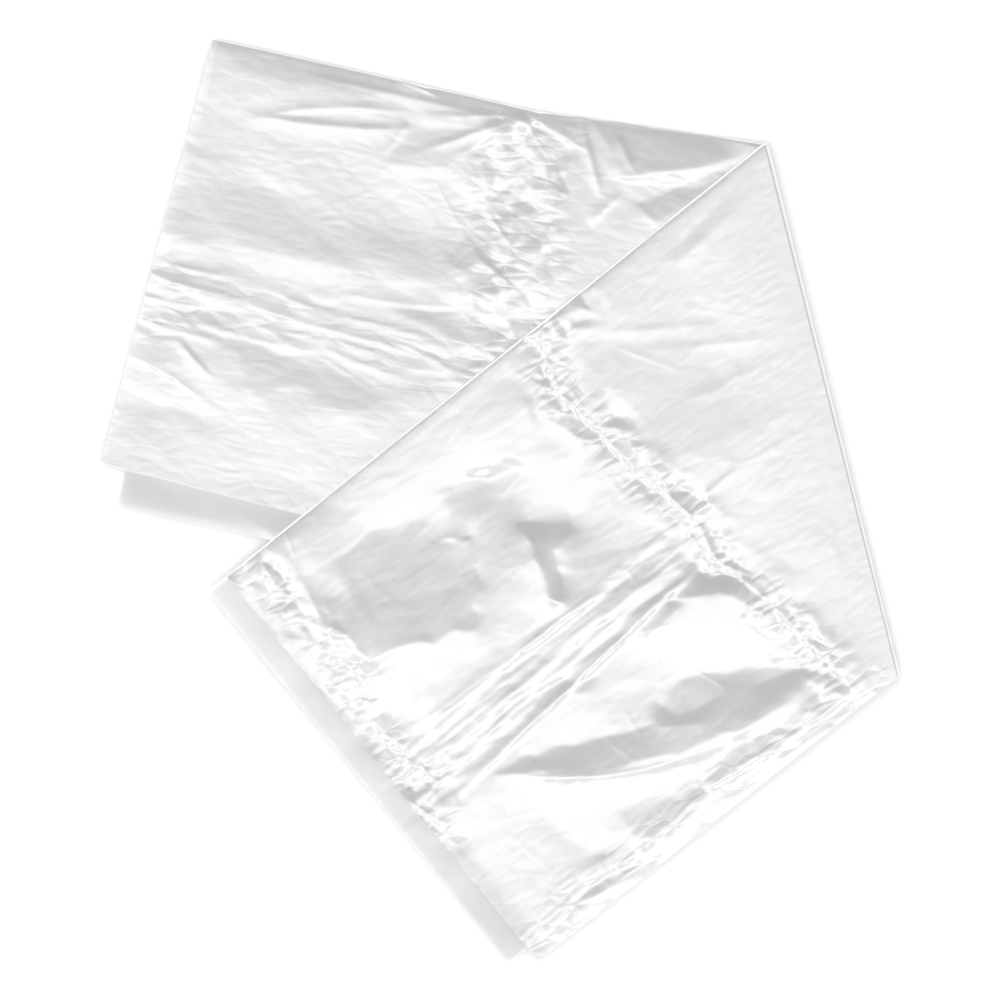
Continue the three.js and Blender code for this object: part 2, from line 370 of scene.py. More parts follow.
def facet_field(mask, size, turned, seed):
    """Flat facets between random points: heights from -1 to 1 where the mask is above 0."""
    rng = np.random.default_rng(seed)
    used = np.argwhere(mask > 0)
    i0, j0 = used.min(0)
    i1, j1 = used.max(0) + 1
    along, across = ALL_ALONG[i0:i1, j0:j1], ALL_ACROSS[i0:i1, j0:j1]
    c, s = math.cos(math.radians(turned)), math.sin(math.radians(turned))
    x, y = (along * c + across * s) / size[0], (across * c - along * s) / size[1]
    grid = np.stack(np.meshgrid(np.arange(x.min() - 2, x.max() + 2),
                                np.arange(y.min() - 2, y.max() + 2), indexing="ij"), -1)
    points = (grid + rng.uniform(-SPLASH, SPLASH, grid.shape)).reshape(-1, 2)
    heights = rng.uniform(-1, 1, len(points))
    _, _, faces, origins, _, _ = geometry.delaunay_2d_cdt(
        [Vector(p) for p in points], [], [], 0, 1e-6)
    rank = [origin[0] for origin in origins]
    at_along = points[:, 0] * size[0] * c - points[:, 1] * size[1] * s
    at_across = points[:, 0] * size[0] * s + points[:, 1] * size[1] * c
    field = np.zeros(along.shape)
    for face in faces:
        a, b, d = (rank[k] for k in face[:3])
        pa, pb = at_along[[a, b, d]], at_across[[a, b, d]]
        p0 = max(int((pa.min() - along_axis[i0]) / CELL), 0)
        p1 = int((pa.max() - along_axis[i0]) / CELL) + 2
        q0 = max(int((pb.min() - across_axis[j0]) / CELL), 0)
        q1 = int((pb.max() - across_axis[j0]) / CELL) + 2
        if p1 <= 0 or q1 <= 0 or p0 >= field.shape[0] or q0 >= field.shape[1]:
            continue
        u, v = along[p0:p1, q0:q1], across[p0:p1, q0:q1]
        area = (pa[1] - pa[0]) * (pb[2] - pb[0]) - (pa[2] - pa[0]) * (pb[1] - pb[0])
        if abs(area) < 1e-9:
            continue
        w1 = ((u - pa[0]) * (pb[2] - pb[0]) - (pa[2] - pa[0]) * (v - pb[0])) / area
        w2 = ((pa[1] - pa[0]) * (v - pb[0]) - (u - pa[0]) * (pb[1] - pb[0])) / area
        inside = (w1 >= 0) & (w2 >= 0) & (w1 + w2 <= 1)
        value = heights[a] + w1 * (heights[b] - heights[a]) + w2 * (heights[d] - heights[a])
        field[p0:p1, q0:q1][inside] = value[inside]
    whole = np.zeros(mask.shape)
    whole[i0:i1, j0:j1] = field
    return whole


def crumple(arm, mask, height, size, turned=0.0, seed=1, blur=0.0):
    """Presses a field of facets into an arm, height mm high, where the mask is above 0."""
    field = facet_field(mask, size, turned, seed)
    relief[arm] += height * CREASE_DEPTH[arm] * mask * (soften(field, blur) if blur else field)


def crepe(arm, mask, share):
    """Marks where the film has crepe too fine for the mesh, which the material's bump makes."""
    crumpled[arm] = np.maximum(crumpled[arm], share * mask)


def hairlines(arm, count, seed, low=(0, 0), high=(1000, 396), height=(0.10, 0.36), spread=60):
    """Thin creases at random places, more of them along the strip than across it."""
    rng = np.random.default_rng(seed)
    for _ in range(count):
        start = rng.uniform(low, high)
        angle = math.radians(rng.normal(0, spread))
        end = start + rng.uniform(14, 75) * np.array([math.cos(angle), math.sin(angle)])
        wrinkle(arm, start, end, rng.uniform(*height), rng.uniform(1.8, 4.0),
                lean=rng.uniform(-0.6, 0.6), bow=rng.uniform(-1.5, 1.5))


everywhere = np.ones(ALL_ALONG.shape)
print("map:", everywhere.shape, "samples for each arm")

# %% [markdown]
# ## The lower arm's creases
#
# The wrinkles are placed by name: a long lens-shaped buckle near
# the nested edge, a star where ridges meet, the packet's crease down the middle, and the
# crumpled band where the packet was folded across.

# %% Broad swells and soft facets over both arms
for arm, turned, seed in (("lower", 8, 11), ("upper", -12, 21)):
    crumple(arm, everywhere, 1.0, (120, 60), turned=turned, seed=seed, blur=7)
    crumple(arm, everywhere, 0.55, (52, 24), turned=turned, seed=seed + 1, blur=0.5)
    crumple(arm, everywhere, 0.16, (18, 11), turned=turned, seed=seed + 2)
    hairlines(arm, 150, seed=seed + 3)

# %% Lower arm: the buckle, the star and the tucks near the nested edge
wrinkle("lower", (22, 54), (180, 40), 1.5, 11, lean=0.4, bow=5)
wrinkle("lower", (40, 58), (168, 30), 1.0, 7, lean=-0.3, bow=-6)
STAR = (259, 14)
for start, height, width in [((156, 71), 1.6, 9), ((196, 67), 1.8, 12), ((165, 32), 1.2, 8),
                             ((220, 62), 1.0, 8), ((330, 40), 1.0, 7), ((262, 60), 1.2, 6)]:
    wrinkle("lower", start, STAR, height, width, lean=0.3, ends=(0.6, 0.1))
wrinkle("lower", (148, 4), (188, 12), 1.6, 4, ends=(0.2, 0.3))
wrinkle("lower", (60, 14), (250, 20), 0.9, 8, lean=0.5)
wrinkle("lower", (166, 38), (152, 70), 0.9, 6, lean=0.5, ends=(0.1, 0.3))
patch("lower", [(171, 43), (212, 36), (206, 69), (156, 71)], (0.0, 0.036), ragged=3)
patch("lower", [(164, 8), (259, 12), (214, 31), (180, 30)], (0.0, 0.035), ragged=3)
patch("lower", [(260, 18), (253, 48), (252, 85), (235, 92), (237, 67)], (0.02, 0.04), ragged=3)
patch("lower", [(310, 6), (448, 6), (404, 28), (345, 48)], (0.0, 0.06), ragged=2)
patch("lower", [(330, 52), (404, 46), (440, 14), (400, 30)], (0.0, -0.06))
patch("lower", [(358, 68), (440, 12), (436, 24), (376, 80)], (0.0, 0.08))
patch("lower", [(10, 6), (150, 12), (120, 24), (20, 22)], (0.0, 0.035), rim=6, ragged=4)

# %% Lower arm: the bright middle, the hollow beside it and the crease down the middle
patch("lower", [(50, 70), (280, 66), (270, 118), (60, 124)], (0.0, -0.012), rim=30)
patch("lower", [(-20, 118), (60, 112), (200, 136), (210, 156), (60, 158), (-24, 162)],
      (0.0, 0.024), rim=14, ragged=6)
patch("lower", [(-20, 164), (80, 160), (200, 162), (190, 176), (60, 178), (-20, 176)],
      (0.0, -0.015), rim=6, ragged=4)
for start, end, height, width, lean in [
        ((-30, 194), (90, 200), 1.2, 10, 0.4), ((60, 204), (230, 217), 1.1, 9, -0.4),
        ((-28, 212), (60, 209), 0.8, 5, 0.2), ((80, 192), (220, 201), 0.7, 8, 0.4),
        ((20, 226), (150, 231), 0.9, 8, -0.3), ((-25, 230), (60, 236), 0.8, 6, 0.3),
        ((200, 215), (330, 238), 1.1, 9, 0.4), ((230, 230), (350, 252), 0.9, 8, -0.3),
        ((-10, 184), (70, 181), 0.7, 7, 0.3), ((140, 182), (240, 174), 0.7, 8, -0.4),
        ((130, 226), (210, 238), 0.8, 6, 0.2)]:
    wrinkle("lower", start, end, height, width, lean=lean, bow=3, ends=(0.2, 0.4))
left_end = in_oval((-5, 215), (60, 42))
crumple("lower", left_end, 0.9, (16, 7), turned=6, seed=21)
middle_band = near_line([(-30, 210), (150, 215), (330, 240)], 34)
crumple("lower", middle_band, 0.55, (26, 7), turned=5, seed=22)
wrinkle("lower", (14, 240), (52, 270), 1.4, 7, lean=0.4)
patch("lower", [(60, 236), (130, 240), (200, 256), (170, 274), (120, 262), (86, 276)],
      (0.0, 0.036), rim=5, ragged=7)
patch("lower", [(180, 186), (236, 178), (290, 196), (292, 214), (230, 200)], (0.0, 0.045), ragged=3)
patch("lower", [(-24, 262), (60, 262), (70, 300), (-20, 300)], (0.0, -0.03), rim=10, ragged=5)
patch("lower", [(-40, 230), (6, 236), (14, 372), (-40, 372)], (0.0, 0.026), rim=10, ragged=5)
patch("lower", [(-8, 356), (120, 362), (230, 372), (220, 392), (-8, 384)], (0.0, 0.034), rim=5,
      ragged=4)
wrinkle("lower", (-22, 262), (50, 290), 0.9, 6, lean=-0.4, bow=-4)
crumple("lower", in_oval((150, 270), (120, 34)), 0.35, (26, 18), turned=20, seed=23)

# %% Lower arm: the crumpled band across it
cross_band = near_line([(268, 0), (262, 90), (280, 190), (300, 300), (330, 400)], 58)
crumple("lower", cross_band, 2.2, (24, 26), turned=12, seed=31, blur=0.4)
crumple("lower", cross_band, 1.1, (9, 11), turned=30, seed=32)
for mask, share in ((cross_band, 0.32), (middle_band, 0.16), (left_end, 0.25)):
    crepe("lower", mask, share)
wrinkle("lower", (268, 6), (259, 84), 1.6, 7, lean=0.4, ends=(0.1, 0.3))
wrinkle("lower", (261, 76), (268, 172), 1.4, 7, lean=-0.4, ends=(0.3, 0.3))
for start, end, height, width in [((302, 12), (330, 70), 1.6, 9), ((330, 14), (352, 44), 1.5, 9),
                                  ((300, 60), (285, 140), 1.4, 9), ((345, 60), (322, 92), 1.4, 8),
                                  ((238, 92), (266, 120), 1.2, 7), ((236, 130), (272, 150), 1.2, 7)]:
    wrinkle("lower", start, end, height, width, lean=0.3)
patch("lower", [(228, 98), (264, 92), (274, 150), (244, 162), (222, 140)], (0.03, 0.07), ragged=5)
patch("lower", [(276, 10), (300, 12), (292, 60), (272, 62)], (-0.05, 0.08), ragged=3)
patch("lower", [(276, 64), (292, 62), (300, 110), (276, 118)], (0.04, 0.06), ragged=3)

# %% [markdown]
# ## The upper arm's creases
#
# The upper arm shows the other face of the strip. A zigzag of tight crumples crosses it where
# the packet was folded, a band of fine pleats runs down its middle, and a second crumpled line
# follows its free end. Between them the film lies in glossy pools.

# %% Upper arm: the zigzag band across it
zigzag = [(685, 6), (701, 52), (696, 97), (691, 142), (679, 203), (687, 232), (681, 257),
          (675, 288), (670, 356), (664, 400)]
crumple("upper", near_line(zigzag, 34), 1.9, (15, 19), turned=15, seed=41)
crumple("upper", near_line(zigzag, 22), 0.7, (7, 9), turned=40, seed=42)
crumple("upper", near_line([(640, 14), (690, 10)], 22), 1.2, (9, 8), turned=0, seed=43)
crepe("upper", near_line(zigzag, 26), 0.60)
for a, b in zip(zigzag, zigzag[1:]):
    wrinkle("upper", a, b, 0.9, 6, lean=0.4, ends=(0.15, 0.15))
for end, height, width in [((640, 330), 1.2, 7), ((650, 392), 1.4, 8), ((700, 384), 1.2, 7),
                           ((706, 330), 1.2, 8), ((630, 362), 1.0, 6)]:
    wrinkle("upper", (670, 356), end, height, width, lean=0.3, ends=(0.1, 0.6))

# %% Upper arm: the panel beside the slanting fold
for start, end, height, width in [((503, 150), (640, 62), 0.9, 12), ((503, 150), (652, 118), 0.8, 10),
                                  ((503, 150), (640, 196), 0.6, 12), ((452, 14), (560, 60), 0.7, 12),
                                  ((545, 203), (626, 189), 1.1, 6), ((626, 189), (672, 190), 1.3, 6),
                                  ((594, 266), (629, 326), 1.5, 6), ((560, 96), (655, 30), 0.7, 14)]:
    wrinkle("upper", start, end, height, width, lean=0.3, ends=(0.2, 0.4))
patch("upper", [(449, 8), (555, 22), (560, 32), (470, 24)], (0.0, 0.06))
patch("upper", [(677, 16), (660, 86), (668, 140), (624, 184), (597, 150), (586, 90)],
      (0.009, 0.009), rim=4, ragged=5)
patch("upper", [(575, 122), (508, 148), (538, 182), (620, 180)], (0.01, 0.012), ragged=3)
patch("upper", [(465, 49), (483, 66), (505, 146), (490, 140)], (0.05, 0.02))
patch("upper", [(590, 268), (600, 266), (616, 300), (606, 298)], (0.08, 0.06), ragged=3)
for end in ((534, 72), (562, 49), (606, 33), (586, 90), (576, 122)):
    wrinkle("upper", (508, 143), end, 0.35, 5, lean=0.4, ends=(0.1, 0.5))

# %% Upper arm: the pleats down the middle
pleats = near_line([(690, 214), (820, 216), (1000, 222)], 40)
crumple("upper", pleats, 1.0, (46, 8), turned=1, seed=51)
crumple("upper", pleats, 0.5, (22, 5), turned=-2, seed=52)
crepe("upper", pleats, 0.12)
rng = np.random.default_rng(53)
PLEATS = 10
for k in range(PLEATS):
    spread = k / (PLEATS - 1)
    start = (rng.uniform(690, 730), 198 + 34 * spread)
    end = (rng.uniform(900, 1008), 188 + 66 * spread)
    wrinkle("upper", start, end, rng.uniform(0.5, 1.5), rng.uniform(5.0, 10.0),
            lean=rng.uniform(-0.6, 0.6), bow=rng.uniform(-5, 5), ends=(0.1, 0.2))

# %% Upper arm: pools and blotches between the nested edge and the pleats
BLOTCH = [(890, 43), (849, 60), (852, 84), (829, 103), (841, 137), (872, 155), (959, 129),
          (963, 93), (948, 67)]
patch("upper", BLOTCH, (0.075, 0.065), rim=3.5, ragged=9)
crumple("upper", in_oval((900, 100), (80, 60)), 0.8, (34, 22), turned=50, seed=61, blur=1.5)
patch("upper", [(817, 58), (786, 69), (813, 89), (830, 97), (856, 81), (831, 74)], (0.10, 0.08),
      ragged=4)
HOOK = [(791, 118), (755, 132), (761, 147), (783, 151), (803, 184), (811, 176), (797, 140)]
patch("upper", HOOK, (0.15, 0.12), ragged=3)
patch("upper", [(951, 37), (846, 56), (764, 63), (756, 82), (830, 60)], (-0.04, -0.05), rim=5)
patch("upper", [(964, 4), (861, 7), (720, 18), (700, 44), (860, 34)], (0.01, 0.012), rim=6)
crumple("upper", in_oval((775, 120), (100, 80)), 0.4, (30, 24), turned=30, seed=62, blur=1.0)

# %% Upper arm: pools between the pleats and the loose edge
LEAF_SHAPE = [(929, 259), (893, 267), (854, 290), (810, 309), (795, 296), (767, 293), (719, 321),
              (673, 354), (758, 355), (803, 337), (863, 313)]
patch("upper", LEAF_SHAPE, (0.045, 0.06), ragged=4)
patch("upper", [(796, 292), (790, 316), (753, 323), (777, 331), (807, 311)], (0.05, 0.06))
patch("upper", [(725, 335), (690, 344), (679, 356), (716, 360), (758, 355)], (0.05, 0.06))
patch("upper", [(894, 241), (854, 244), (832, 253), (821, 249), (845, 236), (883, 235)],
      (0.05, 0.05), ragged=3)
patch("upper", [(741, 230), (729, 245), (752, 250), (781, 252), (757, 238)], (0.07, 0.08), ragged=2)
patch("upper", [(705, 234), (674, 266), (695, 262), (733, 240)], (0.08, 0.07))
patch("upper", [(735, 250), (698, 264), (667, 294), (675, 350), (714, 327), (780, 256)],
      (-0.012, -0.014), rim=8, ragged=5)
patch("upper", [(926, 265), (865, 315), (772, 356), (827, 362), (875, 352), (886, 378), (917, 348)],
      (-0.014, -0.014), rim=6, ragged=3)
patch("upper", [(873, 346), (774, 358), (747, 368), (821, 377), (853, 386), (880, 372)],
      (0.03, 0.03), ragged=3)
patch("upper", [(635, 328), (607, 346), (628, 397), (656, 390), (652, 343)], (0.035, 0.03), rim=5,
      ragged=4)
wrinkle("upper", (691, 282), (729, 303), 0.9, 5, lean=0.4, bow=3)
wrinkle("upper", (929, 259), (758, 357), 0.8, 5, lean=-0.4, bow=-16)
crumple("upper", in_oval((760, 310), (130, 60), turned=-20), 0.3, (32, 16), turned=-20, seed=71)

# %% Upper arm: the crumpled line at the free end and the twisted folds along the loose edge
end_line = [(978, 0), (972, 90), (984, 180), (990, 268)]
crumple("upper", near_line(end_line, 30), 1.3, (13, 17), turned=10, seed=81)
crumple("upper", near_line(end_line, 20), 0.5, (7, 8), turned=35, seed=82)
patch("upper", [(996, -12), (1050, -12), (1050, 420), (988, 420)], (0.016, 0.012), rim=8, ragged=4)
for k in range(9):
    wrinkle("upper", (1022, 20 + 44 * k), (996, 12 + 44 * k), 0.5, 5, lean=0.4, ends=(0.1, 0.3))
loose_edge = [(990, 384), (934, 372), (880, 380), (814, 374), (740, 384), (650, 388)]
crumple("upper", near_line(loose_edge, 26), 1.5, (26, 8), turned=2, seed=83)
for line, width, share in ((end_line, 24, 0.50), (loose_edge, 22, 0.40)):
    crepe("upper", near_line(line, width), share)
for a, b in zip(loose_edge, loose_edge[1:]):
    wrinkle("upper", a, b, 1.4, 7, lean=0.4, ends=(0.2, 0.2))

# %% Calm the panel and the corner pool, then add the leaning patches
for centre, size, calm in (((560, 200), (120, 270), 0.5), ((965, 345), (60, 70), 0.6)):
    relief["upper"] *= 1 - calm * in_oval(centre, size)
for arm in relief:
    relief[arm] += height_from_leans(leans[arm])
print("relief, mm:", {arm: (h.min().round(1), h.max().round(1)) for arm, h in relief.items()})

# %% [markdown]
# ## From relief to the height of every leaf
#
# The four leaves of an arm cling together, so they share one relief: the bottom leaf has none of
# it, the top one has all of it, and those between have their share. The upper arm rests on the
# lower one and sags towards the table past its edges, while its top falls gently towards the
# bright side. Where the relief would go through what lies below, it lands there softly, as a
# hard stop would leave a flat spot with a rim. The bottom leaves ripple a little, and curl up
# where they come out from under the others.

# %% Top and bottom surfaces of each arm
QUARTERS = ("neck", "hem", "lap", "chest")
LEVEL = {arm: {q: sum(corner.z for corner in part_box(f"{arm}_{q}_leaf")) / 2 / MM
               for q in QUARTERS} for arm in ("lower", "upper")}
TOP_LEAF = {"lower": "chest", "upper": "neck"}
BOTTOM_LEAF = {"lower": "neck", "upper": "chest"}
FOLD_ZONE = {"lower": 36.0, "upper": 90.0}
LOWER_REST, MAP_BLUR = 3.1, 0.3
UPPER_START, UPPER_FALL = 9.3, 0.0060
FLOOR_GAP, RIPPLE, STACK = 0.15, 0.6, {"lower": 0.7, "upper": 0.5}
CURL, CURL_FROM, CURL_REACH = 0.045, {"lower": 346.0, "upper": 984.0}, 34.0
HIGHEST_UPPER = LEVEL["upper"]["neck"]


def away_from_fold(arm):
    """0 on the slanting fold's axis and 1 past the zone where the leaves bend over it."""
    distance = (fold_at(ALL_ACROSS) - ALL_ALONG) * math.sin(FOLD_ANGLE)
    return smooth((distance if arm == "lower" else -distance) / FOLD_ZONE[arm])


def rest_on(height, floor, ease=0.5):
    """The height where it is above a floor, and an eased landing on the floor where it is not."""
    above = height - floor
    return floor + (above + np.sqrt(above ** 2 + ease ** 2)) / 2


top, bottom = {}, {}
free = away_from_fold("lower")
ripple = RIPPLE * (1 + soften(facet_field(everywhere, (60, 26), 10, 91), 0.6)) / 2
loose_side = CURL * np.clip(ALL_ACROSS - CURL_FROM["lower"], 0, CURL_REACH)
bottom["lower"] = LEVEL["lower"]["neck"] + (ripple + loose_side) * free
crinkled = LOWER_REST + soften(relief["lower"], MAP_BLUR)
rest = rest_on(crinkled, bottom["lower"] + STACK["lower"])
top["lower"] = LEVEL["lower"]["chest"] * (1 - free) + rest * free


def sample(height, along, across):
    """Reads a map between its samples."""
    a = np.clip((along - along_axis[0]) / CELL, 0, height.shape[0] - 1.001)
    b = np.clip((across - across_axis[0]) / CELL, 0, height.shape[1] - 1.001)
    i, j = a.astype(int), b.astype(int)
    fa, fb = a - i, b - j
    near = height[i, j] * (1 - fb) + height[i, j + 1] * fb
    far = height[i + 1, j] * (1 - fb) + height[i + 1, j + 1] * fb
    return near * (1 - fa) + far * fa


# %% What the upper arm rests on
SAG = 230.0
LOWER_ARM_WIDTH, LOWER_ARM_START = 396.0, -20.0
DRAPE = ((16, 0.9), (2, 0.5))  # blur radius of the arm below, and the height kept above it
CREST_RISE, LEAST_CREST = 0.3, 1.3
under_along, under_across = to_lower_strip(to_table("upper", ALL_ALONG, ALL_ACROSS))
from_sides = np.minimum(under_across, LOWER_ARM_WIDTH - under_across)
inside = np.minimum(from_sides, under_along - LOWER_ARM_START)
held = soften(np.clip((inside + SAG) / SAG, 0, 1), 8)
support = sample(top["lower"], under_along, under_across)
lifted = np.maximum(*(soften(support, radius) + gap for radius, gap in DRAPE))
loose_end = CURL * np.clip(ALL_ALONG - CURL_FROM["upper"], 0, CURL_REACH)
bottom["upper"] = FLOOR_GAP + ripple + loose_end + (lifted - FLOOR_GAP) * held
free = away_from_fold("upper")
bottom["upper"] = LEVEL["upper"]["chest"] * (1 - free) + bottom["upper"] * free
places = to_table("upper", ALL_ALONG, ALL_ACROSS)
towards_light = (places - fold_point[:2]) @ np.array(LIGHT_SIDE[:2]) / MM
plane = UPPER_START - UPPER_FALL * towards_light
crest = np.clip(plane + CREST_RISE, LEVEL["upper"]["chest"] + LEAST_CREST, HIGHEST_UPPER)
crinkled = plane + soften(relief["upper"], MAP_BLUR)
rest = rest_on(crinkled, bottom["upper"] + STACK["upper"])
print("mean lift off the leaves below, mm:", (rest - crinkled).mean().round(3))
top["upper"] = -rest_on(-(crest * (1 - free) + rest * free), -HIGHEST_UPPER, ease=0.2)
print("heights, mm:", {arm: (h.min().round(1), h.max().round(1)) for arm, h in top.items()})


def leaf_height(arm, quarter, along, across):
    """The height of one leaf, between its arm's bottom and top surfaces."""
    level = LEVEL[arm]
    low, high = level[BOTTOM_LEAF[arm]], level[TOP_LEAF[arm]]
    share = (level[quarter] - low) / (high - low)
    under = sample(bottom[arm], along, across)
    return under + (sample(top[arm], along, across) - under) * share


# %% [markdown]
# ## Film
#
# Polyethylene film is clear, slightly milky and very glossy. Four leaves that cling together
# let little of the white table through, and show mostly the room that they mirror. A thin
# mirror with a share of alpha says that in one shader and costs no refraction: one leaf alone
# still lets part of the table through, and every leaf below it takes up some more.
#
# Where the film is most crumpled it has a crepe too fine for the mesh, which is left to bump.
# Each mesh carries how crumpled its film is at every point, and the bump's height follows it,
# down to a trace on calm film. The cells of the crepe are drawn out and turned, since even ones
# would look like bubbles. A slow change in gloss keeps the flat pools from looking like glass.

# %% The film material
FILM_COLOUR = "FBFCFD"
ONE_LEAF = 0.58
FROST_SIZE, CREPE_SIZE, CREPE_HEIGHT, CALM_SHARE = 0.060, 0.015, 0.0013, 0.12
CREPE_DRAWN, CREPE_TURNED = (0.7, 1.5, 1.0), 0.45


def film(name, roughness, crinkled=False):
    """Blown polyethylene film; a crinkled one has crepe where its mesh is marked as crumpled."""
    material, tree = new_material(name)
    strip = add(tree, "ShaderNodeTexCoord").outputs["UV"]
    frost = add(tree, "ShaderNodeTexNoise", {"Vector": strip}, Scale=1 / FROST_SIZE, Detail=2.0)
    rough = add(tree, "ShaderNodeMapRange", {"Value": frost.outputs["Fac"]})
    rough.inputs["To Min"].default_value = roughness * 0.5
    rough.inputs["To Max"].default_value = roughness * 1.6
    links = {"Roughness": rough.outputs["Result"]}
    if crinkled:
        drawn = add(tree, "ShaderNodeMapping", {"Vector": strip})
        drawn.inputs["Rotation"].default_value = (0.0, 0.0, CREPE_TURNED)
        drawn.inputs["Scale"].default_value = CREPE_DRAWN
        cells = add(tree, "ShaderNodeTexVoronoi", {"Vector": drawn.outputs["Vector"]},
                    feature="DISTANCE_TO_EDGE", Scale=1 / CREPE_SIZE)
        marked = add(tree, "ShaderNodeAttribute", attribute_name="crumpled").outputs["Fac"]
        share = add(tree, "ShaderNodeMapRange", {"Value": marked})
        share.inputs["To Min"].default_value = CALM_SHARE
        raised = add(tree, "ShaderNodeMath", {0: cells.outputs["Distance"], 1: share.outputs[0]},
                     operation="MULTIPLY")
        creases = add(tree, "ShaderNodeBump", {"Height": raised.outputs[0]},
                      Strength=1.0, Distance=CREPE_HEIGHT)
        links["Normal"] = creases.outputs["Normal"]
    shader = add(tree, "ShaderNodeBsdfPrincipled", links,
                 Base_Color=linear(FILM_COLOUR), Metallic=0.95, IOR=1.5, Alpha=ONE_LEAF)
    add(tree, "ShaderNodeOutputMaterial", {"Surface": shader.outputs[0]})
    return material


FILM_TOP = film("polyethylene_film_crinkled", 0.02, crinkled=True)
FILM_PANEL = film("polyethylene_film_pressed_between_leaves", 0.02)
FILM_FOLD = film("polyethylene_film_folded", 0.04)
FILM_TIE = film("polyethylene_film_tie", 0.03)
print("four leaves keep", round(1 - (1 - ONE_LEAF) ** 4, 2), "of the light")

# %% [markdown]
# ## The leaves
#
# Each quarter of the cape in each arm is one open sheet, as the real film is. A grid operator
# gives the sheet, and its points are then moved to the strip: straight across the leaf, round
# half of the fold at each side, and up to the height that the relief gives. The top leaves also
# drop a little towards their nested edge, which gives the fold a rounded shoulder. A cloth
# solver would need a finer mesh than this film's creases, and would wander from the creases
# asked for.

# %% The strip's outline, in mm
SHEET_WIDTH, STRIP_WIDTH, LAP_NARROWER = 1000.0, 400.0, 10.0
LEAF_ENDS = {  # where a leaf's free end starts, how far that end slants, and its width there
    ("lower", "outer"): (0.0, -25.0, 352.0), ("upper", "outer"): (1019.0, 0.0, 383.0),
    ("lower", "tucked"): (4.0, -8.0, 383.0), ("upper", "tucked"): (1000.0, 0.0, 396.0),
}
WIDTH_AT_FOLD = {"outer": STRIP_WIDTH - LAP_NARROWER, "tucked": STRIP_WIDTH}
PAIR = {"neck": "tucked", "hem": "tucked", "lap": "outer", "chest": "outer"}
NESTED_MATE = {"neck": "chest", "chest": "neck", "hem": "lap", "lap": "hem"}
CLOSED_MATE = {"lap": "chest", "chest": "lap"}
NESTED_ROUND = {"neck": 2.2, "chest": 2.2, "hem": 0.6, "lap": 0.6}
CLOSED_ROUND = {"neck": 0.0, "hem": 0.0, "lap": 0.6, "chest": 0.6}
TUCKED_IN = {"neck": 0.0, "chest": 0.0, "hem": 2.4, "lap": 2.4}
SHOULDER_DROP, SHOULDER_WIDTH = 1.0, 4.0
BOW_DEPTH, BOW_AT = 8.5, 262.0
NECK_AT, NECK_HALF, NECK_DEPTH = SHEET_WIDTH / 2, 75.0, 70.0
ROUND_STEPS = 5


def nested_edge(arm, part):
    """How far the nested edge bows in from a straight line; part is 0 at the free end."""
    if arm == "upper":
        return np.zeros_like(part)
    at = part * FOLD_START
    rise = np.where(at < BOW_AT, at / BOW_AT, (FOLD_START - at) / (FOLD_START - BOW_AT))
    return BOW_DEPTH * np.clip(rise, 0, 1) ** 1.1


def cut_edge(arm, quarter, part):
    """The width of a leaf at part of its length, with the neck cut-out taken out of it."""
    end, skew, narrow = LEAF_ENDS[arm, PAIR[quarter]]
    width = narrow + (WIDTH_AT_FOLD[PAIR[quarter]] - narrow) * part
    if (arm, quarter) == ("lower", "neck"):
        along = end + skew + (fold_at(width) - end - skew) * part
        reach = np.clip(1 - ((along - NECK_AT) / NECK_HALF) ** 2, 0, 1)
        width = width - NECK_DEPTH * np.sqrt(reach)
    return width


def stations(quarter, rows):
    """Rows across a leaf: how far round each edge fold, and the share of the flat part."""
    steps = np.linspace(0, 1, ROUND_STEPS + 1)
    closed = CLOSED_ROUND[quarter] > 0
    flat_rows = rows - ROUND_STEPS * (2 if closed else 1)
    nested = np.concatenate([steps[:-1], np.ones(rows + 1 - ROUND_STEPS)])
    share = np.concatenate([np.zeros(ROUND_STEPS), np.linspace(0, 1, flat_rows + 1)])
    if closed:
        share = np.concatenate([share, np.ones(ROUND_STEPS)])
        turned = np.concatenate([np.ones(rows + 1 - ROUND_STEPS), steps[::-1][1:]])
    else:
        turned = np.ones(rows + 1)
    return nested * math.pi / 2, share, turned * math.pi / 2


def leaf_place(arm, quarter, part, nested, share, closed):
    """Strip place and height, in mm, of points on a leaf."""
    r0, r1 = NESTED_ROUND[quarter], CLOSED_ROUND[quarter]
    edge = nested_edge(arm, part) + TUCKED_IN[quarter]
    width = cut_edge(arm, quarter, part)
    across = edge + r0 * (1 - np.cos(nested)) + share * (width - edge - r0 - r1)
    across = across + r1 * np.cos(closed)
    end, skew, _ = LEAF_ENDS[arm, PAIR[quarter]]
    end = end + skew * share
    along = end + (fold_at(across) - end) * part
    height = leaf_height(arm, quarter, along, across)
    if quarter == TOP_LEAF[arm]:
        height = height - SHOULDER_DROP * np.exp((edge - across) / SHOULDER_WIDTH)
    mate = leaf_height(arm, NESTED_MATE[quarter], along, across)
    middle = (height + mate) / 2
    height = middle + (height - middle) * np.sin(nested)
    if quarter in CLOSED_MATE:
        mate = leaf_height(arm, CLOSED_MATE[quarter], along, across)
        middle = (height + mate) / 2
        height = middle + (height - middle) * np.sin(closed)
    return along, across, height


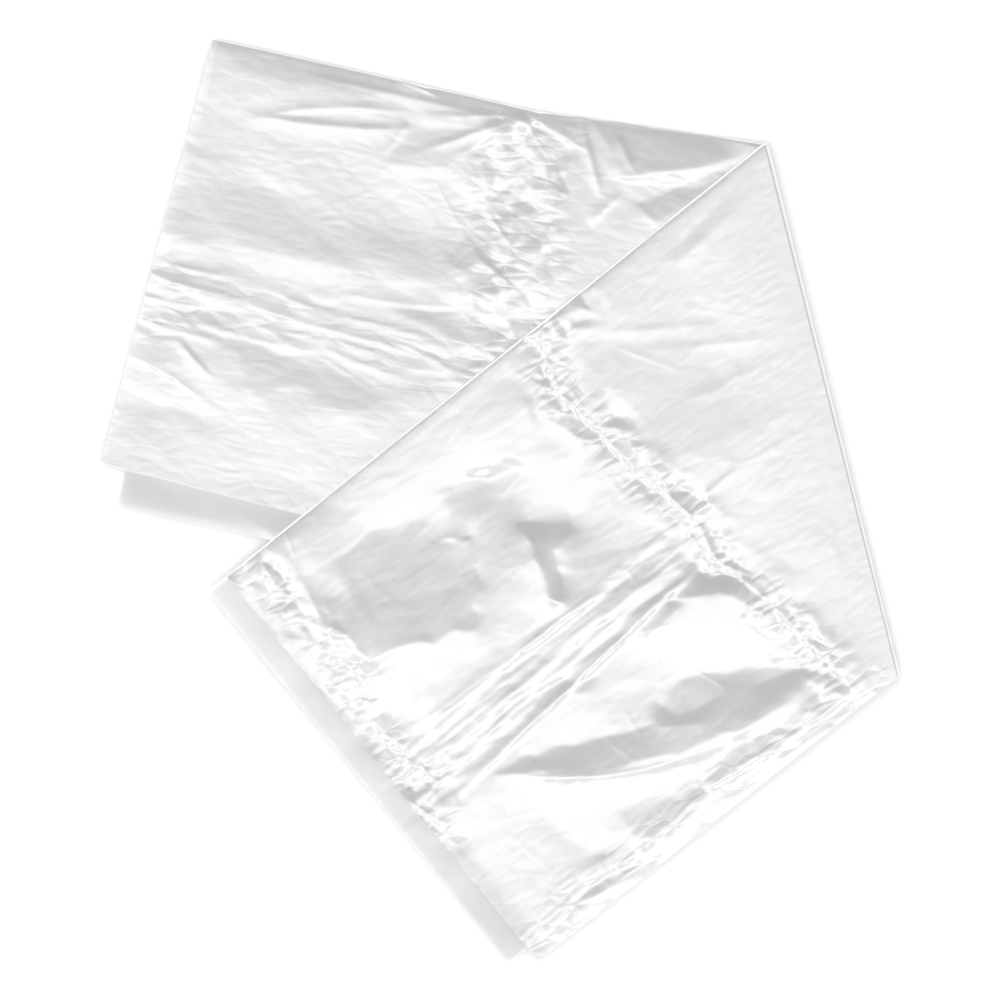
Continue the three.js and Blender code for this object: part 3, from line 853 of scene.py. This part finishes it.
def grid_sheet(name, columns, rows, shape):
    """A grid of film; from shares along and rows, shape gives strip places, points and marks."""
    bm = bmesh.new()
    bmesh.ops.create_grid(bm, x_segments=columns, y_segments=rows, size=1.0)
    mesh = bpy.data.meshes.new(name)
    bm.to_mesh(mesh)
    bm.free()
    at = np.zeros(len(mesh.vertices) * 3)
    mesh.vertices.foreach_get("co", at)
    at = at.reshape(-1, 3)
    part = (at[:, 0] + 1) / 2
    row = np.rint((at[:, 1] + 1) / 2 * rows).astype(int)
    strip, points, crepe_shares = shape(part, row)
    mesh.vertices.foreach_set("co", points.astype(np.float32).ravel())
    corner = np.zeros(len(mesh.loops), np.int32)
    mesh.loops.foreach_get("vertex_index", corner)
    layer = mesh.uv_layers.new(name="strip")
    layer.data.foreach_set("uv", (strip[corner] * MM).astype(np.float32).ravel())
    marks = mesh.attributes.new("crumpled", "FLOAT", "POINT")
    marks.data.foreach_set("value", crepe_shares.astype(np.float32))
    mesh.update()
    if mesh.polygons[len(mesh.polygons) // 2].normal.z < 0:
        mesh.flip_normals()
    mesh.shade_smooth()
    piece = bpy.data.objects.new(name, mesh)
    bpy.context.scene.collection.objects.link(piece)
    return piece


CLOSE_COLUMNS = {"lower": [(0.0, 1.0), (0.40, 1.0), (0.43, 1.7), (0.60, 1.7), (0.70, 1.0),
                           (1.0, 0.5)],
                 "upper": [(0.0, 1.8), (0.10, 1.8), (0.14, 1.0), (0.52, 1.0), (0.56, 1.8),
                           (0.80, 1.6), (0.86, 1.0), (1.0, 1.0)]}


def gather_columns(arm, part):
    """Moves evenly spaced columns closer together where an arm is most crumpled."""
    places = np.linspace(0, 1, 400)
    density = np.interp(places, *zip(*CLOSE_COLUMNS[arm]))
    reached = np.cumsum(density)
    return np.interp(part, (reached - reached[0]) / (reached[-1] - reached[0]), places)


def leaf_piece(arm, quarter, columns, rows):
    """One quarter of the cape in one arm."""
    nested, share, closed = stations(quarter, rows)

    def shape(part, row):
        part = gather_columns(arm, part)
        along, across, height = leaf_place(arm, quarter, part, nested[row], share[row], closed[row])
        flat = to_table(arm, along, across)
        points = np.column_stack([flat, height * MM])
        return np.stack([along, across], 1), points, sample(crumpled[arm], along, across)

    piece = grid_sheet(f"{arm}_{quarter}_film", columns, rows, shape)
    on_top = quarter == TOP_LEAF[arm]
    piece.data.materials.append(FILM_TOP if on_top else FILM_PANEL)
    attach(piece, f"{arm}_arm")
    return piece


# %% Make the eight leaves
fine_grid, plain_grid = (360, 276), (200, 146)
leaves = {}
for arm in ("lower", "upper"):
    for quarter in QUARTERS:
        grid = fine_grid if quarter == TOP_LEAF[arm] else plain_grid
        leaves[arm, quarter] = leaf_piece(arm, quarter, *grid)
print("leaves:", {f"{a} {q}": len(piece.data.polygons) for (a, q), piece in leaves.items()})

# %% [markdown]
# ## The rolls over the slanting fold
#
# At the slanting fold each leaf turns back on itself. When the upper arm is opened out the roll
# flattens, so it can ride on neither arm: it is blended from one to the other.

# %% Make the four rolls
ROLL_STEPS = 14


def roll_piece(quarter, rows):
    """The film of one quarter, turning from the lower arm over into the upper arm."""
    nested, share, closed = stations(quarter, rows)

    def shape(part, row):
        one = np.ones_like(part)
        angles = nested[row], share[row], closed[row]
        along, across, low = leaf_place("lower", quarter, one, *angles)
        _, _, high = leaf_place("upper", quarter, one, *angles)
        angle = (part - 0.5) * math.pi
        middle, radius = (low + high) / 2, (high - low) / 2
        flat = to_table("lower", along, across)
        flat = flat + np.multiply.outer(radius * np.cos(angle) * MM, outward[:2])
        height = middle + radius * np.sin(angle)
        beyond = along + radius * angle
        points = np.column_stack([flat, height * MM])
        return np.stack([beyond, across], 1), points, np.zeros_like(part)

    piece = grid_sheet(f"{quarter}_roll_film", ROLL_STEPS, rows, shape)
    piece.data.materials.append(FILM_FOLD)
    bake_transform(piece)
    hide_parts(f"{quarter}_roll")
    return piece


rolls = {quarter: roll_piece(quarter, plain_grid[1]) for quarter in QUARTERS}
print("rolls:", sorted(piece.name for piece in rolls.values()))

# %% [markdown]
# ## The neck ties
#
# The two ties are strips of the same film, welded beside the neck cut-out and laid flat between
# the neck and hem leaves. They hardly show through the film above them.

# %% Make the two ties
TIE_WIDTH, TIE_LENGTH, TIE_INSET = 25.0, 300.0, 8.0
TIE_GRID = (60, 8)
weld_line = float(cut_edge("lower", "hem", np.array([0.8]))[0]) - TIE_INSET
fold_in_strip = np.array([math.cos(FOLD_ANGLE), math.sin(FOLD_ANGLE)])
from_centre = NECK_HALF + TIE_INSET
TIES = {
    "left_tie": ((NECK_AT - from_centre, weld_line - TIE_WIDTH / 2), np.array([-1.0, 0.0])),
    "right_tie": ((NECK_AT + from_centre + TIE_WIDTH / 2, weld_line), -fold_in_strip),
}


def tie_piece(node, root, run):
    """A tie: a strip with a round tip, half-way between the leaves that hold it."""
    side = np.array([-run[1], run[0]])

    def shape(part, row):
        sideways = (row / TIE_GRID[1] - 0.5) * TIE_WIDTH
        tip = TIE_WIDTH / 2 - np.sqrt(np.clip((TIE_WIDTH / 2) ** 2 - sideways ** 2, 0, None))
        far = part * (TIE_LENGTH - tip)
        strip = np.add(root, np.multiply.outer(far, run) + np.multiply.outer(sideways, side))
        below = leaf_height("lower", "neck", strip[:, 0], strip[:, 1])
        above = leaf_height("lower", "hem", strip[:, 0], strip[:, 1])
        flat = to_table("lower", strip[:, 0], strip[:, 1])
        points = np.column_stack([flat, (below + above) / 2 * MM])
        return strip, points, np.zeros_like(part)

    piece = grid_sheet(f"{node}_film", *TIE_GRID, shape)
    piece.data.materials.append(FILM_TIE)
    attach(piece, "lower_arm")
    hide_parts(node)
    return piece


ties = {node: tie_piece(node, *place) for node, place in TIES.items()}
print("ties:", sorted(ties))

# %% [markdown]
# ## Handing over to the frame
#
# Each leaf stands for its own CAD leaf, and each edge fold is carried by the leaf above it, so
# those CAD parts are hidden. For every leaf the flat size it was cut to and what it lies on are
# worked out. The four quarters of the two arms and the strips that turn over the slanting fold
# make up one cape.

# %% What each piece stands for, and the flat size it was cut to
CARRIED = {"chest": ("neck_chest_fold", "chest_lap_fold"), "lap": ("lap_hem_fold",),
           "hem": (), "neck": ()}
LIES_ON = {"lower": ("table", "neck", "hem", "lap"), "upper": ("lower", "chest", "lap", "hem")}
ORDER = {"lower": QUARTERS, "upper": QUARTERS[::-1]}
for arm in ("lower", "upper"):
    for quarter in QUARTERS:
        folds = [f"{arm}_{fold}" for fold in CARRIED[quarter]]
        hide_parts(f"{arm}_{quarter}_leaf", *folds)
        end, skew, narrow = LEAF_ENDS[arm, PAIR[quarter]]
        width = WIDTH_AT_FOLD[PAIR[quarter]]
        lengths = abs(FOLD_START - end), abs(fold_at(width) - end - skew)
        flat_area = sum(lengths) / 2 * (width + narrow) / 2
        if (arm, quarter) == ("lower", "neck"):
            flat_area -= math.pi / 2 * NECK_HALF * NECK_DEPTH
        place = ORDER[arm].index(quarter)
        below = LIES_ON[arm][place]
        if below == "lower":
            below = leaves["lower", "chest"].name
        elif below != "table":
            below = leaves[arm, below].name
for node in frame["nodes"].values():
    if not node.hide_render:
        print("still showing:", node.name)
